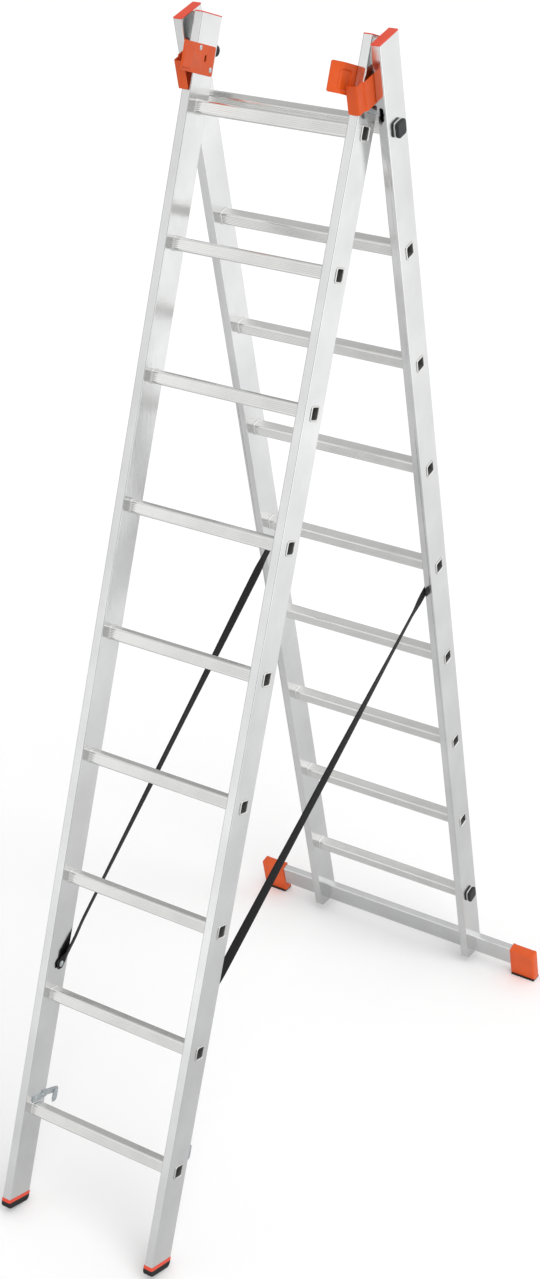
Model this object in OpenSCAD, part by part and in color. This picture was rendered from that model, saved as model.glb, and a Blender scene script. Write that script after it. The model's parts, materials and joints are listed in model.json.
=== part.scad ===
// Multi position ladder: a wide back section on a stabiliser bar and a
// narrower front section, hinged near the top, with limit straps and hooks.
// Millimetres, +Z up, floor at z = 0, front section on the -Y side.
// Both sections are drawn in their own upright frame (z along the stile from
// the floor line, y towards the back) and then leaned by front() or back().

/* [Stance] */
// Lean of each section away from vertical, degrees
lean = 16.375; // [14:0.125:19]
// Distance from the middle plane to each section's foot line
foot_y = 740.65; // [700:0.05:780]

/* [Stiles] */
// Half of the clear width between the front stiles
front_gap = 185.5; // [180:0.5:188]
// Half of the clear width between the back stiles
back_gap = 218; // [217:0.5:224]
// Stile width, across the ladder
stile_t = 21; // [20:0.5:24]
// Stile depth, front to back
stile_d = 76; // [72:1:78]
// Wall of the stile tube
stile_wall = 1.6; // [1.2:0.1:2.4]
// Outer corner radius of the stile tube
stile_r = 2.5; // [2:0.5:4]
// Distance from the floor line to the front stiles' top end
front_top = 2675; // [2660:1:2710]
// Distance from the floor line to the back stiles' top end
back_top = 2682; // [2660:1:2710]

/* [Rungs] */
// Rungs in each section
rung_count = 9; // [9]
// Distance between rungs
rung_pitch = 280; // [276:1:282]
// Lowest rung centre, from the floor line
rung_first = 250.4; // [248:0.1:256]
// Side of the square rung tube
rung_side = 28; // [26:0.5:30]
// Corner radius of the rung tube
rung_r = 4.5; // [3:0.5:6]
// Wall of the rung tube
rung_wall = 1.5; // [1.2:0.1:2]
// How far the rungs sit behind the stile's centre line
rung_back = 3; // [0:0.5:4]

/* [Hinge] */
// Distance of the hinge pin from each section's centre line
pivot_off = 26; // [25:0.5:27]
// Hinge pin shank radius
pivot_r = 4; // [3:0.5:5]

/* [Stabiliser] */
// Overall half width of the stabiliser with its shoes
bar_half = 424; // [380:1:460]
// Height of the stabiliser tube, along the stile
bar_h = 58; // [50:1:62]
// Depth of the stabiliser tube
bar_d = 20; // [18:1:24]
// Stabiliser tube's lower edge, from the floor line
bar_low = 37; // [36:1:42]
// Inner end of each shoe, from the middle
shoe_in = 355; // [330:1:370]

/* [Feet] */
// Thickness of the rubber under each shoe
rubber_h = 7; // [4:0.5:8]
// Top of the front foot's rubber, from the floor line
sole_top = 23.5; // [20:0.5:26]
// Radius of the rubber foot's rolled edges
sole_r = 12; // [10:0.5:14]

/* [Brackets and straps] */
// Sheet thickness of the orange brackets
sheet = 2.5; // [2:0.1:3]
// Width of the limit strap
strap_w = 25; // [20:1:30]
// Thickness of the limit strap
strap_t = 2; // [1.5:0.1:2.5]

/* [Hidden] */
$fn = 48;
fit = 0.05;                      // running and seating clearance, each side
over = 1;                        // how far a cutting shape runs past a face
front_out = front_gap + stile_t; // outer web of a front stile
back_out = back_gap + stile_t;   // outer web of a back stile
half_d = stile_d / 2;
rung_last = rung_first + (rung_count - 1) * rung_pitch;

// The hinge axis is in the middle plane: there the two centre lines are
// pivot_off to either side of it.
pivot_s = (foot_y - pivot_off * cos(lean)) / sin(lean);

// Front foot: rubber from its lowest line to sole_top, cut flat by the floor
foot_low = 7.5;
foot_lip = 1.5;      // how far collars and rubber stand outside the tube
collar_top = 31;
collar_base = 2;
foot_plug_h = 26;

// Back stile: its end is cut level, above the floor
heel_z = 21;
heel_r = 9;

// Front bracket on the front stiles: lowest and highest edge, reach behind and
// ahead of the centre line, and the wing that flares inwards from its front end
fb = [2554, 2614];
fb_rear = 30;
fb_reach = 89;
fb_wing = 29;
fb_flare = 34;
fb_rivets = [[2606, -27], [2567, 21]];
fb_slot = [2587, -4];
fb_rib = 6;          // a rib on the wing, this far beyond the bend

// Guide bracket on the back stiles: its arm steps inwards ahead of the stile
// and ends in a lip across the front
gb = [2560, 2621];
gb_rear = 8;
gb_reach = 95;
gb_lip = 25;
gb_step = 5;         // how far inwards, over the same length
gb_bend = 70;        // where the step starts
gb_rivets = [[2573, -4], [2608, -4]];
rib_w = 4;
rib_h = 1.2;

rivet_r = 3;
rivet_head_r = 5.5;
rivet_head_h = 1.8;
rivet_tail_r = 4.2;  // the formed end, behind the web
rivet_tail_h = 2;

// Opening stop: a rubber buffer on the back stile that the front stile meets
stop_r = 12;
stop_rear = 32;      // its centre, behind the back stile's centre line
stop_len = 28;
stop_edge = 3;       // crown of its free end
stop_gap = 0.3;
open_turn = 2 * lean;
stop_ahead = half_d + stop_r + stop_gap - pivot_off;
stop_up = (stop_rear + pivot_off - stop_ahead * cos(open_turn)) / sin(open_turn);
stop_s = pivot_s + stop_up * cos(open_turn) - stop_ahead * sin(open_turn);

// Strap anchors: distance up the stile, and place behind its centre line
low_s = 601;
low_y = 7;
high_s = 1316;
high_y = -22;
strap_off = 3.5;     // strap centre to web face at both anchors
strap_end = 14;      // strap beyond each anchor rivet
strap_low = [front_gap - strap_off,
             -foot_y + low_s * sin(lean) + low_y * cos(lean),
             low_s * cos(lean) - low_y * sin(lean)];
strap_high = [back_gap - strap_off,
              foot_y - high_s * sin(lean) + high_y * cos(lean),
              high_s * cos(lean) + high_y * sin(lean)];

strap_play = 0.45;   // rivet and washers to strap
washer_r = 7;
washer_t = 1;

// Small thicknesses and steps
rim_t = 2;           // flared rim outside a stile
rim_out = 3;         // rim beyond the rung's side
bead_t = 2.5;        // rolled bead inside a stile
bead_out = 2;
plug_in = 12;        // rung plug inside the tube
plug_out = 10;       // rung plug outside the stile
plug_side = 33;
plug_r = 7;
plug_step = 2;
plug_play = 0.6;     // stile plugs inside the stile tube
cap_h = 2.5;
cap_lip = 0.3;
cap_plug = 20;
bar_wall = 2;
bar_r = 3;
shoe_wall = 4;
shoe_r = 4;
bolt_r = 4;
bolt_nut_h = 6.5;
nut_ratio = 1.9;     // corner radius of a nut against its bolt's radius
thread_out = 2.5;    // thread beyond a nut
hinge_head_r = 7;    // formed heads of a hinge pin, inside the two stiles
hinge_head_h = 3;
head_gap = 0.2;      // play on each side of the front stile at the hinge
spacer_r = 9;
access_w = 9;        // slot in a back stile's front, to reach the hinge pin
access_h = 30;
access_up = -2;
slot_w = 7;
slot_h = 14;
slot_r = 3;

// Hook plate and its spring latch, on the front stiles
hook_t = 3;
hook_w = 16;
hook_taper = 2;      // how much narrower the strip and the arm are
hook_root = -14;     // foremost end of the strip on the web
hook_low = 268;      // strip's lower edge
hook_arm = 273;      // arm's lower edge where it leaves the stile
hook_dip = 6;        // how far the arm drops on its way to the tip
hook_tip = 75.5;      // tip's centre line, behind the stile's centre line
hook_tip_z = 252;    // centre of the rounded tip
latch_w = 6;
hook_pin = [72.5, 272];
latch_t = 2;
latch_gap = 0.2;
latch_boss = 5.5;    // radius round the pin
latch_below = 4;     // latch beyond the centre of the hook's tip
pin_r = 2.5;
pin_head_r = 4.2;
pin_head_h = 1.2;
hook_rivets = [[-4, 275], [22, 275]];

// The object's box is centred on the origin: half the difference between the
// reach of the front foot's rolled edge and that of the back stile's heel
heel_y = half_d - heel_r;
heel_s = (heel_z + heel_r - heel_y * sin(lean)) / cos(lean);
front_reach = foot_y + (half_d + foot_lip - sole_r) * cos(lean)
            - (foot_low + sole_r) * sin(lean) + sole_r;
back_reach = foot_y - heel_s * sin(lean) + heel_y * cos(lean) + heel_r;
centre_y = (front_reach - back_reach) / 2;

// ---- frames -------------------------------------------------------------

module front() translate([0, centre_y - foot_y, 0]) rotate([-lean, 0, 0]) children();

module back() translate([0, centre_y + foot_y, 0]) rotate([lean, 0, 0]) children();

// Everything is drawn for the right side, +X, and mirrored for the left
module side(right) {
  if (right) children();
  else mirror([1, 0, 0]) children();
}

module both_sides() {
  children();
  mirror([1, 0, 0]) children();
}

// ---- plain shapes -------------------------------------------------------

module rrect(w, h, r) {
  square([w - 2 * r, h], center = true);
  square([w, h - 2 * r], center = true);
  for (x = [-1, 1], y = [-1, 1])
    translate([x * (w / 2 - r), y * (h / 2 - r)]) circle(r);
}

// A profile drawn in the (y, z) plane, run from x0 to x1
module along_x(x0, x1) {
  translate([x0, 0, 0]) rotate([90, 0, 90]) linear_extrude(x1 - x0) children();
}

// A cylinder along x at (y, z)
module rod_x(x0, x1, y, z, r) {
  translate([x0, y, z]) rotate([0, 90, 0]) cylinder(r = r, h = x1 - x0);
}

// A spherical cap of radius r and height h, its flat side on z = 0
module dome(r, h) {
  big = (r * r + h * h) / (2 * h);
  intersection() {
    translate([0, 0, h - big]) sphere(big);
    cylinder(r = r, h = h);
  }
}

// A domed head that stands towards -x from the plane x
module head_x(x, y, z, r, h) {
  translate([x, y, z]) rotate([0, -90, 0]) dome(r, h);
}

// Everything below the level z, across the whole object
module below(z) {
  reach = 1000;
  translate([-reach, -reach, z - reach]) cube([2 * reach, 2 * reach, reach]);
}

// ---- stiles -------------------------------------------------------------

module stile_profile() {
  difference() {
    rrect(stile_t, stile_d, stile_r);
    rrect(stile_t - 2 * stile_wall, stile_d - 2 * stile_wall, stile_r - stile_wall / 2);
  }
}

module stile_tube(inner_x, z0, z1) {
  translate([inner_x + stile_t / 2, 0, z0]) linear_extrude(z1 - z0) stile_profile();
}

module rung_holes(inner_x) {
  hole = rung_side + 2 * fit;
  for (i = [0:rung_count - 1])
    along_x(inner_x - over, inner_x + stile_t + over)
      translate([rung_back, rung_first + i * rung_pitch]) rrect(hole, hole, rung_r + fit);
}

// Holes through the inner web only, at [z, y] places
module web_holes(inner_x, places, r) {
  for (p = places)
    rod_x(inner_x - over, inner_x + stile_wall + over, p[1], p[0], r + fit);
}

module front_stile() {
  front() difference() {
    stile_tube(front_gap, sole_top + collar_base, front_top);
    rung_holes(front_gap);
    rod_x(front_out - stile_wall - over, front_out + over, pivot_off, pivot_s, pivot_r + fit);
    web_holes(front_gap, fb_rivets, rivet_r);
    slot_hole(front_gap - over, front_gap + stile_wall + over);
    web_holes(front_gap, [[low_s, low_y]], rivet_r);
    web_holes(front_gap, [for (p = hook_rivets) [p[1], p[0]]], rivet_r);
  }
}

// What rounds the end of a back stile at its front (-1) or rear (1) corner
module heel_round(end) {
  y = end * heel_y;
  s = (heel_z + heel_r - y * sin(lean)) / cos(lean);
  out = heel_r + 3 * over;
  low = [y - out * sin(lean), s - out * cos(lean)];
  along_x(back_gap - over, back_out + over) difference() {
    polygon([[y, s], low, [y + end * out, s - out * 2], [y + end * out, s]]);
    translate([y, s]) circle(heel_r);
  }
}

module back_stile() {
  difference() {
    back() difference() {
      stile_tube(back_gap, 0, back_top);
      rung_holes(back_gap);
      rod_x(back_gap - over, back_gap + stile_wall + over, -pivot_off, pivot_s, pivot_r + fit);
      translate([back_gap + stile_t / 2, over - half_d, pivot_s + access_up])
        rotate([90, 0, 0]) linear_extrude(stile_wall + 2 * over, center = true)
          rrect(access_w, access_h, access_w / 2 - fit);
      web_holes(back_gap, gb_rivets, rivet_r);
      web_holes(back_gap, [[high_s, high_y], [stop_s, stop_rear]], rivet_r);
      along_x(back_gap - over, back_out + over)
        translate([0, bar_low + bar_h / 2]) rrect(bar_d + 2 * fit, bar_h + 2 * fit, bar_r);
      translate([back_gap + stile_t / 2, half_d - stile_wall - over, bar_low + bar_h / 2])
        rotate([-90, 0, 0]) cylinder(r = bolt_r + fit, h = stile_wall + 2 * over);
      heel_round(-1);
      heel_round(1);
    }
    below(heel_z);
  }
}

// ---- rungs --------------------------------------------------------------

// One rung: a square tube through both webs of both stiles, with a rolled
// bead inside each stile and a flared rim outside
module rung(inner_x, outer_x, i) {
  bead = rung_side + 2 * bead_out;
  rim = rung_side + 2 * rim_out;
  translate([0, rung_back, rung_first + (i - 1) * rung_pitch]) difference() {
    union() {
      along_x(-outer_x - rim_t, outer_x + rim_t) rrect(rung_side, rung_side, rung_r);
      both_sides() {
        along_x(inner_x - fit - bead_t, inner_x - fit) rrect(bead, bead, rung_r + bead_out);
        along_x(outer_x + fit, outer_x + rim_t) rrect(rim, rim, rung_r + rim_out);
      }
    }
    along_x(-outer_x - rim_t - over, outer_x + rim_t + over)
      rrect(rung_side - 2 * rung_wall, rung_side - 2 * rung_wall, rung_r - rung_wall);
  }
}

module front_rung(i) front() rung(front_gap, front_out, i);

module back_rung(i) back() rung(back_gap, back_out, i);

// Black plugs close the ends of the back section's lowest and highest rungs
module rung_plugs() {
  color("black") back() both_sides()
    for (s = [rung_first, rung_last]) translate([0, rung_back, s]) {
      bore = rung_side - 2 * rung_wall - 2 * fit;
      along_x(back_out - plug_in, back_out + rim_t + fit) rrect(bore, bore, rung_r - rung_wall);
      along_x(back_out + rim_t + fit, back_out + plug_out - plug_step)
        rrect(plug_side, plug_side, plug_r);
      along_x(back_out + plug_out - plug_step, back_out + plug_out)
        rrect(plug_side - 2 * plug_step, plug_side - 2 * plug_step, plug_r - plug_step);
    }
}

// ---- caps and front feet ------------------------------------------------

module stile_plug(inner_x, z0, h) {
  translate([inner_x + stile_t / 2, 0, z0]) linear_extrude(h)
    rrect(stile_t - 2 * stile_wall - plug_play, stile_d - 2 * stile_wall - plug_play, stile_r / 2);
}

module skirt(inner_x, z0, h, lip) {
  translate([inner_x + stile_t / 2, 0, z0]) linear_extrude(h) difference() {
    rrect(stile_t + 2 * lip, stile_d + 2 * lip, stile_r + lip);
    rrect(stile_t + 2 * fit, stile_d + 2 * fit, stile_r + fit);
  }
}

module stile_cap(inner_x, top) {
  color("orangered") {
    translate([inner_x + stile_t / 2, 0, top + fit]) linear_extrude(cap_h)
      rrect(stile_t + 2 * cap_lip, stile_d + 2 * cap_lip, stile_r + cap_lip);
    stile_plug(inner_x, top - cap_plug, cap_plug + fit);
  }
}

module front_foot() {
  color("orangered") front() {
    translate([front_gap + stile_t / 2, 0, sole_top]) linear_extrude(collar_base - fit)
      rrect(stile_t + 2 * foot_lip, stile_d + 2 * foot_lip, stile_r + foot_lip);
    skirt(front_gap, sole_top + collar_base - fit, collar_top - sole_top - collar_base, foot_lip);
    stile_plug(front_gap, sole_top + collar_base - fit, foot_plug_h);
  }
}

module front_sole() {
  tall = 60; // of the rounded block that the foot is cut from
  color("dimgray") difference() {
    front() along_x(front_gap - foot_lip, front_out + foot_lip) intersection() {
      translate([0, foot_low + tall / 2]) rrect(stile_d + 2 * foot_lip, tall, sole_r);
      translate([-stile_d, foot_low]) square([2 * stile_d, sole_top - foot_low]);
    }
    below(0);
  }
}

// ---- stabiliser ---------------------------------------------------------

module stabiliser_bar() {
  end = bar_half - shoe_wall - fit;
  color("silver") back() difference() {
    along_x(-end, end) translate([0, bar_low + bar_h / 2]) difference() {
      rrect(bar_d, bar_h, bar_r);
      rrect(bar_d - 2 * bar_wall, bar_h - 2 * bar_wall, bar_r - bar_wall / 2);
    }
    both_sides() translate([back_gap + stile_t / 2, -bar_d, bar_low + bar_h / 2])
      rotate([-90, 0, 0]) cylinder(r = bolt_r + fit, h = 2 * bar_d);
  }
}

module bar_shoe() {
  top = bar_low + bar_h + shoe_wall;
  tall = 2 * top;
  color("orangered") difference() {
    back() difference() {
      along_x(shoe_in, bar_half)
        translate([0, top - tall / 2]) rrect(bar_d + 2 * shoe_wall, tall, shoe_r);
      along_x(shoe_in - over, bar_half - shoe_wall)
        translate([0, bar_low + bar_h / 2]) rrect(bar_d + 2 * fit, bar_h + 2 * fit, bar_r);
    }
    below(rubber_h);
  }
}

// Ends of a shoe's footprint along y, at the top of its rubber
function shoe_y(end) =
  let (y = end * (bar_d / 2 + shoe_wall))
  centre_y + foot_y + y * cos(lean) - (rubber_h - y * sin(lean)) * tan(lean);

module bar_sole() {
  y0 = shoe_y(-1) - foot_lip;
  y1 = shoe_y(1) + foot_lip;
  w = bar_half - shoe_in;
  color("dimgray") translate([shoe_in + w / 2, (y0 + y1) / 2, 0])
    linear_extrude(rubber_h) rrect(w, y1 - y0, shoe_r);
}

// Bolts through each back stile's rear flange and the bar, nuts ahead of it
module bar_bolts() {
  color("gray") back() both_sides()
    translate([back_gap + stile_t / 2, 0, bar_low + bar_h / 2]) {
      reach = bar_d / 2 + bolt_nut_h + thread_out;
      translate([0, -reach, 0]) rotate([-90, 0, 0]) cylinder(r = bolt_r, h = reach + half_d + fit);
      translate([0, half_d + fit, 0]) rotate([-90, 0, 0]) dome(bolt_r * 2, bolt_r);
    }
}

module bar_nuts() {
  color("gray") back() both_sides()
    translate([back_gap + stile_t / 2, -bar_d / 2 - fit, bar_low + bar_h / 2])
      rotate([90, 0, 0]) nut(bolt_r, bolt_nut_h);
}

module nut(r, h) {
  difference() {
    cylinder(r = nut_ratio * r, h = h, $fn = 6);
    translate([0, 0, -over]) cylinder(r = r + fit, h = h + 2 * over);
  }
}

// ---- hinge --------------------------------------------------------------

// A pin through the front stile's outer web and the back stile's inner web,
// with a formed head inside each tube
module hinge_pins() {
  head0 = front_out - stile_wall - head_gap;
  head1 = back_gap + stile_wall + fit;
  color("gray") back() both_sides() {
    rod_x(head0, head1, -pivot_off, pivot_s, pivot_r);
    rod_x(head0 - hinge_head_h, head0, -pivot_off, pivot_s, hinge_head_r);
    rod_x(head1, head1 + hinge_head_h, -pivot_off, pivot_s, hinge_head_r);
  }
}

module hinge_spacers() {
  color("gray") back() both_sides() difference() {
    rod_x(front_out + head_gap, back_gap - fit, -pivot_off, pivot_s, spacer_r);
    rod_x(front_out, back_gap, -pivot_off, pivot_s, pivot_r + fit);
  }
}

module stop_buffers() {
  free_end = back_gap - stop_len + stop_edge;
  color("black") back() both_sides() {
    rod_x(free_end, back_gap - fit, stop_rear, stop_s, stop_r);
    head_x(free_end, stop_rear, stop_s, stop_r, stop_edge);
    rod_x(back_gap - fit, back_gap + stile_wall + rivet_tail_h, stop_rear, stop_s, rivet_r);
  }
}

// ---- brackets -----------------------------------------------------------

// Sheet of even thickness along a bent line in the (x, y) plane, standing from
// e[0] to e[1]. The line is the face next to the stile; thick is towards -x.
module bent_sheet(line, thick, e) {
  last = len(line) - 1;
  translate([0, 0, e[0]]) linear_extrude(e[1] - e[0])
    polygon(concat(line, [for (i = [last:-1:0]) line[i] + thick[i]]));
}

module plate_holes(x, rivets) {
  for (p = rivets) rod_x(x - sheet - over, x + over, p[1], p[0], rivet_r + fit);
}

// The slot through a front bracket and the web behind it
module slot_hole(x0, x1) {
  along_x(x0, x1) translate([fb_slot[1], fb_slot[0]]) rrect(slot_w, slot_h, slot_r);
}

module front_bracket() {
  x = front_gap - fit;
  wing = fb_wing * [-sin(fb_flare), -cos(fb_flare)];
  line = [[x, fb_rear], [x, -fb_reach], [x, -fb_reach] + wing];
  square_in = [-sheet, 0];
  bend_in = [-sheet, sheet * tan(fb_flare / 2)];
  wing_in = sheet * [-cos(fb_flare), sin(fb_flare)];
  color("orangered") front() difference() {
    union() {
      bent_sheet(line, [square_in, bend_in, wing_in], fb);
      translate([x, -fb_reach, 0]) rotate([0, 0, -fb_flare])
        translate([-sheet / 2, -fb_rib - rib_w, fb[0] + rib_w])
          cube([sheet / 2 + rib_h, rib_w, fb[1] - fb[0] - 2 * rib_w]);
    }
    plate_holes(x, fb_rivets);
    slot_hole(x - sheet - over, x + over);
  }
}

module guide_bracket() {
  x = back_gap - fit;
  arm = x - gb_step;
  line = [[x, gb_rear], [x, -gb_bend], [arm, -gb_bend - gb_step],
          [arm, -gb_reach], [arm + fit - gb_lip, -gb_reach]];
  step_angle = 45;
  skew = sheet * tan(step_angle / 2);
  thick = [[-sheet, 0], [-sheet, skew], [-sheet, skew], [-sheet, sheet], [0, sheet]];
  color("orangered") back() difference() {
    bent_sheet(line, thick, gb);
    plate_holes(x, gb_rivets);
  }
}

// Blind rivet whose head bears on the plane face, through a web at inner_x
module rivet(face, inner_x, y, z, head_r, head_h) {
  tail = inner_x + stile_wall + fit;
  head_x(face - fit, y, z, head_r, head_h);
  rod_x(face - fit, tail + rivet_tail_h, y, z, rivet_r);
  rod_x(tail, tail + rivet_tail_h, y, z, rivet_tail_r);
}

module bracket_rivets(places, inner_x) {
  both_sides() for (p = places)
    rivet(inner_x - fit - sheet, inner_x, p[1], p[0], rivet_head_r, rivet_head_h);
}

// ---- limit straps -------------------------------------------------------

module strap() {
  shift = [0, centre_y, 0];
  a = strap_low + shift;
  d = strap_high - strap_low;
  len = norm(d);
  up = asin(d[2] / len);
  yaw = atan2(-d[0], d[1]);
  color("black") difference() {
    translate(a) rotate([up, 0, yaw]) translate([-strap_t / 2, -strap_end, -strap_w / 2])
      cube([strap_t, len + 2 * strap_end, strap_w]);
    for (p = [strap_low, strap_high])
      rod_x(p[0] - 2 * strap_t, p[0] + 2 * strap_t, p[1] + centre_y, p[2], rivet_r + strap_play);
  }
}

// A strap rivet with a washer under its head and a collar behind the strap
module strap_rivet(inner_x, y, z) {
  mid = inner_x - strap_off;
  clear = strap_t / 2 + strap_play;
  tail = inner_x + stile_wall + fit;
  rod_x(mid - clear - washer_t, mid - clear, y, z, washer_r);
  head_x(mid - clear - washer_t, y, z, rivet_head_r, rivet_head_h);
  rod_x(mid - clear - washer_t, tail + rivet_tail_h, y, z, rivet_r);
  rod_x(mid + clear, inner_x - fit, y, z, washer_r);
  rod_x(tail, tail + rivet_tail_h, y, z, rivet_tail_r);
}

// ---- hooks --------------------------------------------------------------

// Outline in the (y, z) plane: a strip on the web, an arm behind the stile
// and a tip that turns down behind a rung of the other section
module hook_outline() {
  tip_r = hook_w / 2;
  arm_w = hook_w - hook_taper;
  crown = hook_arm + arm_w - hook_dip - tip_r;
  translate([hook_root, hook_low]) square([half_d - hook_root, arm_w]);
  start = half_d - hook_w;
  polygon([[start, hook_arm], [start, hook_arm + arm_w],
           [hook_tip, crown + tip_r], [hook_tip, crown + tip_r - arm_w]]);
  translate([hook_tip - tip_r, hook_tip_z]) square([hook_w, crown - hook_tip_z]);
  for (z = [hook_tip_z, crown]) translate([hook_tip, z]) circle(tip_r);
}

module hook() {
  x = front_gap - fit;
  color("gainsboro") front() difference() {
    along_x(x - hook_t, x) hook_outline();
    for (p = hook_rivets) rod_x(x - hook_t - over, x + over, p[0], p[1], rivet_r + fit);
    rod_x(x - hook_t - over, x + over, hook_pin[0], hook_pin[1], pin_r + fit);
  }
}

module hook_rivets() {
  color("silver") front() both_sides() for (p = hook_rivets)
    rivet(front_gap - fit - hook_t, front_gap, p[0], p[1], rivet_head_r, rivet_head_h);
}

module latch() {
  x = front_gap - fit - hook_t - latch_gap;
  drop = hook_pin[1] - hook_tip_z + latch_below;
  color("gainsboro") front() difference() {
    along_x(x - latch_t, x) translate(hook_pin) {
      circle(latch_boss);
      translate([-latch_boss - latch_w / 2, -drop]) square([latch_w, drop]);
      translate([-latch_boss - latch_w / 2, -latch_w / 2]) square([latch_boss, latch_w]);
      translate([-latch_boss, -drop]) circle(latch_w / 2);
    }
    rod_x(x - latch_t - over, x + over, hook_pin[0], hook_pin[1], pin_r + fit);
  }
}

module latch_pins() {
  x = front_gap - fit - hook_t - latch_gap - latch_t - latch_gap;
  color("silver") front() both_sides() {
    rod_x(x, front_gap - 2 * fit, hook_pin[0], hook_pin[1], pin_r);
    head_x(x, hook_pin[0], hook_pin[1], pin_head_r, pin_head_h);
  }
}

// ---- output -------------------------------------------------------------

color("silver") side(false) front_stile();  // front_stile_left
color("silver") side(true) front_stile();  // front_stile_right
color("silver") side(false) back_stile();  // back_stile_left
color("silver") side(true) back_stile();  // back_stile_right
for (i = [1:rung_count]) {
  color("gainsboro") front_rung(i);
  color("gainsboro") back_rung(i);
}
side(false) front() stile_cap(front_gap, front_top);  // front_cap_left
side(true) front() stile_cap(front_gap, front_top);  // front_cap_right
side(false) back() stile_cap(back_gap, back_top);  // back_cap_left
side(true) back() stile_cap(back_gap, back_top);  // back_cap_right
side(false) front_foot();  // front_foot_left
side(true) front_foot();  // front_foot_right
side(false) front_sole();  // front_sole_left
side(true) front_sole();  // front_sole_right
stabiliser_bar();
side(false) bar_shoe();  // bar_shoe_left
side(true) bar_shoe();  // bar_shoe_right
side(false) bar_sole();  // bar_sole_left
side(true) bar_sole();  // bar_sole_right
bar_bolts();
bar_nuts();
side(false) front_bracket();  // front_bracket_left
side(true) front_bracket();  // front_bracket_right
color("silver") front() bracket_rivets(fb_rivets, front_gap);  // front_bracket_rivets
side(false) guide_bracket();  // guide_bracket_left
side(true) guide_bracket();  // guide_bracket_right
color("silver") back() bracket_rivets(gb_rivets, back_gap);  // guide_bracket_rivets
hinge_pins();
hinge_spacers();
stop_buffers();
rung_plugs();
side(false) strap();  // strap_left
side(true) strap();  // strap_right
color("silver") front() both_sides() strap_rivet(front_gap, low_y, low_s);  // strap_rivets_front
color("silver") back() both_sides() strap_rivet(back_gap, high_y, high_s);  // strap_rivets_back
side(false) hook();  // hook_left
side(true) hook();  // hook_right
hook_rivets();
side(false) latch();  // latch_left
side(true) latch();  // latch_right
latch_pins();
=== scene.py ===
"""The looks of the multi position ladder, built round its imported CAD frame.

Metres, +Z up, floor at z = 0, front section on the -Y side. Sizes below are in millimetres.
Each section has its own upright frame: z up the stile from the floor line, y towards the back.
"""

import json
import math

import bmesh
import bpy
from mathutils import Matrix, Vector


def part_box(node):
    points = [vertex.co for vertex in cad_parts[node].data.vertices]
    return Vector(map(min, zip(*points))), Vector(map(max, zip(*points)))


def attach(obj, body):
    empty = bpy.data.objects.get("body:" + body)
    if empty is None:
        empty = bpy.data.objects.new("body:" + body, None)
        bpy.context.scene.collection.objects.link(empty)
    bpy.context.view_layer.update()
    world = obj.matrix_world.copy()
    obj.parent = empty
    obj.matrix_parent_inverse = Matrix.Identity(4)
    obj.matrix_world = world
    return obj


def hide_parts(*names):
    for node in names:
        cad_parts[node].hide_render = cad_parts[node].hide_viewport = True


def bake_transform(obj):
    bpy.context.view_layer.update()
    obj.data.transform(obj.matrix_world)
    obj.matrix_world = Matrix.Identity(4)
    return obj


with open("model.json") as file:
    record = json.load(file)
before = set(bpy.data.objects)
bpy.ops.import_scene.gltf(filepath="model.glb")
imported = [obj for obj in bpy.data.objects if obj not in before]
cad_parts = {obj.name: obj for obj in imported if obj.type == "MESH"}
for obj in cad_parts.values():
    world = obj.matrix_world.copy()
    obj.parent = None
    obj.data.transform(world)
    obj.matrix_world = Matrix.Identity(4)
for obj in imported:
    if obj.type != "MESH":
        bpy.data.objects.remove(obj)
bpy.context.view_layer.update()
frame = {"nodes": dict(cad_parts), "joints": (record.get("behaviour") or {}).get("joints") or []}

MM = 0.001
SIDES = {"left": -1, "right": 1}

# ---- sizes, in millimetres ----------------------------------------------

LEAN = math.radians(16.375)  # of each section, away from vertical
FOOT_Y = 740.65  # middle plane to a section's foot line
STILE_D = 76
STILE_TOP = {"front": 2675, "back": 2682}  # up the stile from the floor line, as all heights
RUNGS = 9
RUNG_FIRST = 250.4
RUNG_PITCH = 280
RUNG_BACK = 3  # rungs sit this far behind the stile's centre line
RUNG_HALF = 14
RUNG_FLAT = 9.5  # half of the flat between a rung's rounded corners
BAR_LOW = 37
BAR_H = 58
BAR_D = 20
SHEET = 2.5

fold = next(joint for joint in frame["joints"] if joint["name"] == "fold")
MIDDLE_Y = fold["pos_m"][1] / MM


def inner_and_outer(node):
    low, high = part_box(node)
    return low.x / MM, high.x / MM


IN_OUT = {
    "front": inner_and_outer("front_stile_right"),
    "back": inner_and_outer("back_stile_right"),
}
STILE_T = IN_OUT["front"][1] - IN_OUT["front"][0]


def section(kind):
    """Matrix from a section's upright frame, in millimetres, to the row frame, in metres."""
    sign = {"front": -1, "back": 1}[kind]
    place = Matrix.Translation((0, (MIDDLE_Y + sign * FOOT_Y) * MM, 0))
    return place @ Matrix.Rotation(sign * LEAN, 4, "X")


def body(kind):
    return kind + "_section"


# ---- materials ----------------------------------------------------------


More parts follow.
